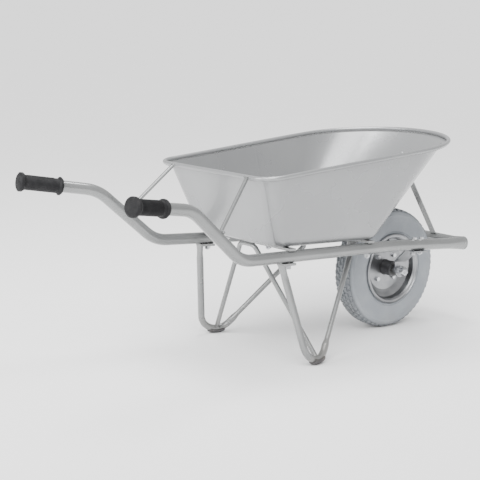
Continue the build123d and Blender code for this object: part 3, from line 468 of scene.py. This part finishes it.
def main_way(island: Sequence[bmesh.types.BMFace]) -> Vector:
    """The way that most of a solid's surface faces, such as a nut's axis."""
    areas: dict[tuple, float] = {}
    normals: dict[tuple, tuple[float, Vector]] = {}
    for face in island:
        key = tuple(round(abs(part), 2) for part in face.normal)
        area = face.calc_area()
        areas[key] = areas.get(key, 0.0) + area
        if key not in normals or area > normals[key][0]:
            normals[key] = (area, face.normal.copy())
    return normals[max(areas, key=lambda key: areas[key])][1].normalized()


def solids_of(node: str, axis: Vector | None = None) -> list[Solid]:
    """Finds the separate solids of a CAD node.

    Args:
        node: Name of the CAD node.
        axis: Axis of every solid, or None to take the way that most of its surface faces.
    Returns:
        The solids in order along X, then Y.
    """
    shell = bmesh.new()
    shell.from_mesh(frame["nodes"][node].data)
    bmesh.ops.remove_doubles(shell, verts=shell.verts, dist=1e-5)
    found = []
    for island in islands_of(shell):
        way = main_way(island) if axis is None else axis.normalized()
        corners = np.array([tuple(vert.co) for face in island for vert in face.verts])
        along = corners @ np.array(way)
        flat = corners - np.outer(along, np.array(way))
        centre = (flat.max(0) + flat.min(0)) / 2
        middle = Vector(centre) + way * float(along.max() + along.min()) / 2
        reach = float(np.linalg.norm(flat - centre, axis=1).max())
        found.append(Solid(middle, way, float(along.max() - along.min()), reach))
    shell.free()
    found.sort(key=lambda solid: (round(solid.middle.x, 4), solid.middle.y, solid.middle.z))
    return found


def corners_of(node: str) -> np.ndarray:
    """All corners of a CAD node as rows of X, Y and Z."""
    return np.array([tuple(vert.co) for vert in frame["nodes"][node].data.vertices])


# ---------------------------------------------------------------- geometry nodes
class Shape(Enum):
    """Shape that a ring repeats."""

    LUG = "lug"
    BEAD = "bead"


class RingTree:
    """Geometry Nodes tree that repeats one small shape round an oval about local Z."""

    INPUTS = (
        ("Count", "NodeSocketInt"),
        ("Radius A", "NodeSocketFloat"),
        ("Radius B", "NodeSocketFloat"),
        ("Offset", "NodeSocketFloat"),
        ("Phase", "NodeSocketFloat"),
        ("Tilt", "NodeSocketFloat"),
        ("Size", "NodeSocketVector"),
        ("Twist", "NodeSocketFloat"),
        ("Unevenness", "NodeSocketFloat"),
        ("Seed", "NodeSocketInt"),
        ("Material", "NodeSocketMaterial"),
    )

    def __init__(self, shape: Shape) -> None:
        self.tree = bpy.data.node_groups.new(f"ring_of_{shape.value}", "GeometryNodeTree")
        self.sockets = {}
        for name, kind in self.INPUTS:
            socket = self.tree.interface.new_socket(name=name, in_out="INPUT", socket_type=kind)
            self.sockets[name] = socket.identifier
        self.tree.interface.new_socket(name="Geometry", in_out="OUTPUT", socket_type="NodeSocketGeometry")
        self.given = self.tree.nodes.new("NodeGroupInput")
        self._build(shape)

    def _add(self, kind: str, inputs: dict[Any, Any], output: int = 0, **settings: Any) -> Any:
        made = self.tree.nodes.new(kind)
        for name, value in settings.items():
            setattr(made, name, value)
        for key, value in inputs.items():
            if isinstance(value, bpy.types.NodeSocket):
                self.tree.links.new(value, made.inputs[key])
            else:
                made.inputs[key].default_value = value
        return made.outputs[output] if made.outputs else None

    def _math(self, operation: str, first: Any, second: Any = 0.0) -> Any:
        return self._add("ShaderNodeMath", {0: first, 1: second}, operation=operation)

    def _build(self, shape: Shape) -> None:
        given = self.given.outputs
        line = self._add("GeometryNodeMeshLine", {"Count": given["Count"]})
        index = self._add("GeometryNodeInputIndex", {})
        turn = self._math("DIVIDE", self._math("MULTIPLY", index, math.tau), given["Count"])
        angle = self._math("ADD", turn, given["Phase"])
        spot = self._add(
            "ShaderNodeCombineXYZ",
            {
                0: self._math("MULTIPLY", self._math("COSINE", angle), given["Radius A"]),
                1: self._math("MULTIPLY", self._math("SINE", angle), given["Radius B"]),
                2: given["Offset"],
            },
        )
        placed = self._add("GeometryNodeSetPosition", {"Geometry": line, "Position": spot})
        if shape is Shape.LUG:
            block = self._add(
                "GeometryNodeMeshCone",
                {"Vertices": 4, "Radius Top": 0.60, "Radius Bottom": 0.7071, "Depth": 1.0},
            )
        else:
            block = self._add("GeometryNodeMeshUVSphere", {"Segments": 8, "Rings": 6, "Radius": 1.0})
        square = self._add("GeometryNodeTransform", {"Geometry": block, "Rotation": (0.0, 0.0, math.pi / 4)})
        sized = self._add("GeometryNodeTransform", {"Geometry": square, "Scale": given["Size"]})
        twisted = self._add(
            "GeometryNodeTransform",
            {
                "Geometry": sized,
                "Rotation": self._add("ShaderNodeCombineXYZ", {2: given["Twist"]}),
            },
        )
        lean = self._math("SUBTRACT", given["Tilt"], math.pi / 2)
        heading = self._math("SUBTRACT", angle, math.pi / 2)
        euler = self._add("ShaderNodeCombineXYZ", {0: lean, 2: heading})
        smallest = self._math("SUBTRACT", 1.0, given["Unevenness"])
        largest = self._math("ADD", 1.0, given["Unevenness"])
        scale = self._add(
            "FunctionNodeRandomValue",
            {2: smallest, 3: largest, "Seed": given["Seed"]},
            output=1,
            data_type="FLOAT",
        )
        copies = self._add(
            "GeometryNodeInstanceOnPoints",
            {
                "Points": placed,
                "Instance": twisted,
                "Rotation": self._add("FunctionNodeEulerToRotation", {0: euler}),
                "Scale": scale,
            },
        )
        real = self._add("GeometryNodeRealizeInstances", {"Geometry": copies})
        done = self._add("GeometryNodeSetMaterial", {"Geometry": real, "Material": given["Material"]})
        out = self.tree.nodes.new("NodeGroupOutput")
        self.tree.links.new(done, out.inputs["Geometry"])

    def mesh(self, slot: str, place: Matrix, **values: Any) -> bpy.types.Mesh:
        """Runs the tree and returns its mesh in place.

        Args:
            slot: Material slot of the copies.
            place: Matrix from the ring's own axes to the frame.
            values: Inputs by name, with _ for a space.
        Returns:
            The finished mesh.
        """
        blank = bpy.data.objects.new("ring_source", bpy.data.meshes.new("ring_source"))
        bpy.context.scene.collection.objects.link(blank)
        maker = blank.modifiers.new("ring", "NODES")
        maker.node_group = self.tree
        for name, value in {"Seed": 7, **values}.items():
            maker[self.sockets[name.replace("_", " ")]] = value
        maker[self.sockets["Material"]] = MATERIALS[slot]
        graph = bpy.context.evaluated_depsgraph_get()
        made = bpy.data.meshes.new_from_object(blank.evaluated_get(graph))
        made.transform(place)
        blank.modifiers.remove(maker)
        bpy.data.objects.remove(blank)
        return made


LUGS = RingTree(Shape.LUG)
BEADS = RingTree(Shape.BEAD)


# ---------------------------------------------------------------- assemblies
@dataclass
class Tyre:
    """Tyre with sidewall ribs and a block tread, standing for the plain CAD tyre."""

    groove: float = 0.0045
    crown_half: float = 0.032
    crown_fall: float = 0.0055
    crown_steps: int = 8
    sectors: int = 144
    lug_length: float = 0.0145
    lug_width: float = 0.0100
    lug_root: float = 0.0012
    lug_rows: tuple[tuple[float, float, float, float], ...] = (
        (0.0, 0.0, 0.0, 0.0),
        (0.0135, 0.5, 0.16, 0.0),
        (-0.0135, 0.5, -0.16, 0.0),
        (0.0265, 0.0, 0.42, 0.25),
        (-0.0265, 0.0, -0.42, -0.25),
    )
    lug_count: int = 58

    def place(self) -> Matrix:
        """Matrix that carries local Z onto the wheel's axle."""
        low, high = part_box("tyre")
        return Matrix.Translation((low + high) / 2) @ Matrix.Rotation(-math.pi / 2, 4, "X")

    def profile(self, outer: float, half: float) -> list[tuple[float, float]]:
        """Closed profile of the cover from the beads round the crown.

        Args:
            outer: Outside radius.
            half: Half the width.
        Returns:
            Corners as (radius, distance from the middle).
        """
        side = [
            (outer - 0.0957, half - 0.021),
            (outer - 0.0957, half - 0.009),
            (outer - 0.0860, half - 0.010),
            (outer - 0.0790, half - 0.0052),
            (outer - 0.0760, half - 0.0052),
            (outer - 0.0745, half - 0.0032),
            (outer - 0.0600, half - 0.0009),
            (outer - 0.0470, half - 0.0001),
            (outer - 0.0400, half - 0.0001),
            (outer - 0.0300, half - 0.0012),
            (outer - 0.0240, half - 0.0026),
            (outer - 0.0225, half - 0.0018),
            (outer - 0.0195, half - 0.0024),
            (outer - 0.0180, half - 0.0046),
            (outer - 0.0120, half - 0.0078),
            (outer - 0.0098, half - 0.0105),
        ]
        crown = []
        for step in range(self.crown_steps + 1):
            across = math.cos(math.pi * step / self.crown_steps)
            crown.append((outer - self.groove - self.crown_fall * across**2, self.crown_half * across))
        inner = [
            (outer - 0.0170, half - 0.0180),
            (outer - 0.0300, half - 0.0080),
            (outer - 0.0600, half - 0.0080),
            (outer - 0.0800, half - 0.0190),
        ]
        right = [(radius, -across) for radius, across in reversed(side)]
        hollow = [(radius, -across) for radius, across in reversed(inner)]
        return side + crown + right + hollow + inner

    def build(self) -> None:
        """Makes the tyre and its tread blocks."""
        low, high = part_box("tyre")
        outer = (high.z - low.z) / 2
        half = (high.y - low.y) / 2
        place = self.place()
        cover = turned(self.profile(outer, half), self.sectors, place, "tyre_cover")
        add_piece("tyre_cover", cover, "tyre_rubber", Body.WHEEL, ["tyre"])
        rows = []
        pitch = math.tau / self.lug_count
        for across, phase, tilt, twist in self.lug_rows:
            fall = self.crown_fall * (across / self.crown_half) ** 2
            ring = outer - self.groove - fall - self.lug_root
            rows.append(
                LUGS.mesh(
                    "tyre_rubber",
                    place,
                    Count=self.lug_count,
                    Radius_A=ring,
                    Radius_B=ring,
                    Offset=across,
                    Phase=phase * pitch,
                    Tilt=tilt,
                    Size=(self.lug_length, self.lug_width, self.groove + 0.0008),
                    Twist=twist,
                )
            )
        add_piece("tyre_tread", joined(rows, "tyre_tread"), "tyre_rubber", Body.WHEEL)


@dataclass
class Hexes:
    """Chamfered nuts and bolt heads that stand for the plain CAD hexagons."""

    node: str
    body: Body
    slot: str = "fastener_zinc"
    bore: float = 0.0
    chamfer: float = 0.58
    face_share: float = 0.94
    bore_flare: float = 0.12
    steps: int = 48

    def nut(self, solid: Solid) -> bpy.types.Mesh:
        """One chamfered hexagon at a CAD solid's place.

        Args:
            solid: The CAD nut.
        Returns:
            Its mesh.
        """
        apothem = solid.radius * math.cos(math.pi / 6)
        inner = apothem * self.face_share
        half = solid.height / 2
        flare = self.bore * self.bore_flare
        place = solid.matrix()
        corner = self._corner_angle(solid, place)
        points = []
        faces = []
        for step in range(self.steps):
            angle = math.tau * step / self.steps
            within = (angle % (math.pi / 3)) - math.pi / 6
            reach = apothem / math.cos(within)
            drop = (reach - inner) * self.chamfer
            ring = [
                (self.bore, flare - half),
                (self.bore + flare, -half),
                (inner, -half),
                (reach, drop - half),
                (reach, half - drop),
                (inner, half),
                (self.bore + flare, half),
                (self.bore, half - flare),
            ]
            heading = angle + corner
            for radius, height in ring:
                spot = Vector((radius * math.cos(heading), radius * math.sin(heading), height))
                points.append(place @ spot)
            faces.extend(ring_faces(step, self.steps, len(ring)))
        return mesh_of(points, faces, self.node)

    def _corner_angle(self, solid: Solid, place: Matrix) -> float:
        """Angle of one corner of the CAD hexagon about its axis."""
        back = place.inverted()
        best = 0.0
        reach = 0.0
        for vert in frame["nodes"][self.node].data.vertices:
            local = back @ vert.co
            flat = math.hypot(local.x, local.y)
            if abs(local.z) < solid.height and reach + 1e-6 < flat < solid.radius * 1.01:
                reach = flat
                best = math.atan2(local.y, local.x)
        return best

    def build(self) -> None:
        """Makes all of the node's nuts."""
        nuts = [self.nut(solid) for solid in solids_of(self.node)]
        name = f"{self.node}_chamfered"
        add_piece(name, joined(nuts, name), self.slot, self.body, [self.node], smooth=12.0)


@dataclass
class Grip:
    """Raised rings on the end face of a hand grip and fine rings on its core."""

    side: str
    end_rings: tuple[float, ...] = (0.008, 0.0135, 0.019)
    core_rings: int = 22
    core_radius: float = 0.0222
    wire: float = 0.0005
    dome: float = 0.064
    collar: float = 0.027
    sectors: int = 40

    def build(self) -> None:
        """Makes the rings of one grip."""
        node = f"{self.side}_grip"
        corners = corners_of(node)
        middle = (corners.max(0) + corners.min(0)) / 2
        _, _, ways = np.linalg.svd(corners - corners.mean(0), full_matrices=False)
        axis = Vector(ways[0])
        if axis.x < 0:
            axis = -axis
        along = (corners - middle) @ np.array(axis)
        radial = np.linalg.norm(corners - middle - np.outer(along, np.array(axis)), axis=1)
        log.info("%s: %.4f long, %.4f radius", node, along.max() - along.min(), radial.max())
        turn = axis.to_track_quat("Z", "Y").to_matrix().to_4x4()
        place = Matrix.Translation(Vector(middle)) @ turn
        start, end = float(along.min()), float(along.max())
        rings = [self.ring(radius, start + radius * self.dome + 0.0001, place) for radius in self.end_rings]
        gap = (end - start - 2 * self.collar) / (self.core_rings - 1)
        for step in range(self.core_rings):
            rings.append(self.ring(self.core_radius - 0.0001, start + self.collar + gap * step, place))
        name = f"{self.side}_grip_rings"
        add_piece(name, joined(rings, name), "grip_rubber", Body.BARROW)

    def ring(self, radius: float, height: float, place: Matrix) -> bpy.types.Mesh:
        """One raised ring.

        Args:
            radius: Radius of the ring's middle.
            height: Place along the grip.
            place: Matrix of the grip.
        Returns:
            The ring's mesh.
        """
        corners = [
            (radius + self.wire * math.cos(math.tau * k / 6), height + self.wire * math.sin(math.tau * k / 6))
            for k in range(6)
        ]
        return turned(corners, self.sectors, place, "grip_ring")


@dataclass
class Thread:
    """Thread ridges on a bolt or axle end."""

    node: str
    body: Body
    slot: str
    radius: float
    start: float
    length: float
    pitch: float = 0.0015
    depth: float = 0.0005
    root: float = 0.0003
    sectors: int = 40

    def build(self) -> None:
        """Makes ridges at both ends of every solid of the node."""
        ridges = []
        for solid in solids_of(self.node, Vector((0, 1, 0))):
            place = solid.matrix()
            for side in (1, -1):
                for step in range(int(self.length / self.pitch)):
                    height = side * (self.start + step * self.pitch)
                    corners = [
                        (self.radius - self.root, height - self.pitch * 0.48),
                        (self.radius - self.root, height + self.pitch * 0.48),
                        (self.radius + self.depth, height + self.pitch * 0.06),
                        (self.radius + self.depth, height - self.pitch * 0.06),
                    ]
                    ridges.append(turned(corners, self.sectors, place, "ridge"))
        name = f"{self.node}_thread"
        add_piece(name, joined(ridges, name), self.slot, self.body, smooth=20.0)


@dataclass
class Weld:
    """Ring of weld beads round a joint."""

    name: str
    middle: Vector
    axis: Vector
    radius_a: float
    radius_b: float
    bead: float = 0.0016
    across: Vector | None = None

    def mesh(self) -> bpy.types.Mesh:
        """The ring's mesh."""
        way = self.axis.normalized()
        side = self.across or Vector((0, 1, 0))
        side = (side - way * side.dot(way)).normalized()
        ahead = way.cross(side)
        turn = Matrix((side, ahead, way)).transposed().to_4x4()
        around = math.pi * (self.radius_a + self.radius_b)
        return BEADS.mesh(
            "frame_paint",
            Matrix.Translation(self.middle) @ turn,
            Count=max(12, int(around / self.bead / 1.1)),
            Radius_A=self.radius_a,
            Radius_B=self.radius_b,
            Size=(self.bead, self.bead, self.bead * 0.8),
            Unevenness=0.12,
        )


@dataclass
class Welds:
    """Weld beads where the brace, the stays and the nose bar meet their tubes."""

    nose_half_depth: float = 0.0168
    nose_half_height: float = 0.0222
    nose_bead: float = 0.0011
    nose_inset: float = 0.012
    stay_radius: float = 0.0062
    stay_head_bead: float = 0.0013
    brace_radius: float = 0.0078
    brace_bead: float = 0.0015
    brace_probe: float = 0.2

    def build(self) -> None:
        """Makes every weld of the frame."""
        rings = []
        for side in (-1, 1):
            name = "right" if side < 0 else "left"
            rings.append(self.nose(side))
            rings.extend(self.stay(name))
            rings.append(self.brace(side))
        beads = joined([ring.mesh() for ring in rings], "weld_beads")
        add_piece("weld_beads", beads, "frame_paint", Body.BARROW)

    def nose(self, side: int) -> Weld:
        """Mitre weld at one end of the nose bar."""
        low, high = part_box("nose_bar")
        centre = Vector(((low.x + high.x) / 2, 0, (low.z + high.z) / 2))
        reach = (high.y - low.y) / 2 - self.nose_inset
        middle = Vector((centre.x, side * reach, centre.z))
        return Weld(
            "nose",
            middle,
            Vector((1, side, 0)),
            self.nose_half_depth,
            self.nose_half_height,
            self.nose_bead,
            Vector((1, -side, 0)),
        )

    def stay(self, name: str) -> list[Weld]:
        """Welds at both ends of a rear stay."""
        corners = corners_of(f"{name}_rear_stay")
        order = np.argsort(corners[:, 2])
        foot = Vector(corners[order[:24]].mean(0))
        head = Vector(corners[order[-24:]].mean(0))
        way = (head - foot).normalized()
        return [
            Weld("foot", foot + way * 0.003, way, self.stay_radius, self.stay_radius),
            Weld("head", head - way * 0.004, way, self.stay_radius, self.stay_radius, self.stay_head_bead),
        ]

    def brace(self, side: int) -> Weld:
        """Weld at one foot of the leg brace."""
        corners = corners_of("leg_brace")
        corners = corners[corners[:, 1] * side > 0]
        order = np.argsort(corners[:, 2])
        foot = Vector(corners[order[:30]].mean(0))
        high = corners[np.abs(corners[:, 2] - self.brace_probe) < 0.03]
        way = (Vector(high.mean(0)) - foot).normalized() if len(high) else Vector((0, -side, 3)).normalized()
        return Weld("brace", foot + way * 0.004, way, self.brace_radius, self.brace_radius, self.brace_bead)


# ---------------------------------------------------------------- camera and light
@dataclass
class Studio:
    """Pale floor, soft lights and the camera."""

    azimuth: float = -39.83
    elevation: float = 10.19
    roll: float = 1.06
    distance: float = 4.290
    lens: float = 105.65
    target: tuple[float, float, float] = (-0.1404, 0.0, 0.35375)
    world: float = 0.9

    def build(self) -> None:
        """Makes the whole studio."""
        self.camera()
        self.floor()
        self.sky()
        self.lamp("key_light", "SUN", (-2.4, -2.0, 3.6), 0.9, 4.2)
        self.lamp("side_light", "AREA", (-3.4, 0.6, 1.8), 1.6, 90.0)
        self.lamp("top_light", "AREA", (0.4, 0.4, 3.4), 1.4, 90.0)

    def camera(self) -> None:
        """Makes the camera at the object's viewing angle."""
        turn = math.radians(self.azimuth)
        rise = math.radians(self.elevation)
        roll = math.radians(self.roll)
        back = Vector((math.sin(turn) * math.cos(rise), -math.cos(turn) * math.cos(rise), math.sin(rise)))
        right = Vector((math.cos(turn), math.sin(turn), 0))
        up = back.cross(right)
        across = right * math.cos(roll) + up * math.sin(roll)
        upward = up * math.cos(roll) - right * math.sin(roll)
        data = bpy.data.cameras.new("camera")
        data.lens = self.lens
        data.sensor_width = 36.0
        made = bpy.data.objects.new("camera", data)
        bpy.context.scene.collection.objects.link(made)
        place = Matrix((across, upward, back)).transposed().to_4x4()
        place.translation = Vector(self.target) + back * self.distance
        made.matrix_world = place
        bpy.context.scene.camera = made

    def floor(self) -> None:
        """Makes the pale floor."""
        reach = 1000.0
        mesh = mesh_of(
            [(-reach, -reach, 0), (reach, -reach, 0), (reach, reach, 0), (-reach, reach, 0)],
            [(0, 1, 2, 3)],
            "floor",
        )
        material = bpy.data.materials.new("floor")
        graph = Graph(material)
        place = graph.node("ShaderNodeTexCoord", output=3)
        soft = graph.noise(place, 2.0)
        colour = graph.mix(soft, (0.93, 0.93, 0.93, 1), (0.95, 0.95, 0.95, 1))
        shader = graph.node("ShaderNodeBsdfPrincipled", {"Base Color": colour, "Roughness": 0.9})
        graph.node("ShaderNodeOutputMaterial", [shader])
        mesh.materials.append(material)
        made = bpy.data.objects.new("floor", mesh)
        bpy.context.scene.collection.objects.link(made)

    def sky(self) -> None:
        """Makes the even white surround."""
        world = bpy.data.worlds.new("surround")
        world.use_nodes = True
        world.node_tree.nodes["Background"].inputs[0].default_value = (1, 1, 1, 1)
        world.node_tree.nodes["Background"].inputs[1].default_value = self.world
        bpy.context.scene.world = world

    def lamp(
        self,
        name: str,
        kind: str,
        spot: tuple[float, float, float],
        size: float,
        power: float,
    ) -> None:
        """Makes one soft lamp that faces the object.

        Args:
            name: Name of the lamp.
            kind: SUN for even light over the whole floor, or AREA for a square lamp.
            spot: Place in metres.
            size: Side of the square lamp, or the sun's spread in radians.
            power: Power in watts, or the sun's strength.
        """
        data = bpy.data.lights.new(name, kind)
        if kind == "SUN":
            data.angle = size
        else:
            data.size = size
        data.energy = power
        made = bpy.data.objects.new(name, data)
        bpy.context.scene.collection.objects.link(made)
        made.location = spot
        aim = Vector((0.0, 0.0, 0.3)) - Vector(spot)
        made.rotation_euler = aim.to_track_quat("-Z", "Y").to_euler()


def dress_nodes() -> None:
    """Gives every CAD node the material of its slot."""
    for part in frame["record"]["subparts"]:
        node = frame["nodes"][part["node"]]
        node.data.materials.clear()
        node.data.materials.append(MATERIALS[part["material_slot"]])


def main() -> None:
    """Builds the whole scene."""
    dress_nodes()
    Studio().build()
    Tyre().build()
    for side in ("right", "left"):
        Grip(side).build()
    for node in ("tray_nuts", "frame_nuts", "bracket_nuts"):
        Hexes(node, Body.BARROW, bore=0.00405).build()
    Hexes("rim_nuts", Body.WHEEL, bore=0.00405).build()
    Hexes("stay_nut", Body.BARROW, bore=0.00305).build()
    Hexes("axle_nuts", Body.BARROW, bore=0.00805).build()
    Thread("axle", Body.BARROW, "axle_steel", 0.008, 0.0930, 0.0055).build()
    Welds().build()


if __name__ == "__main__":
    main()
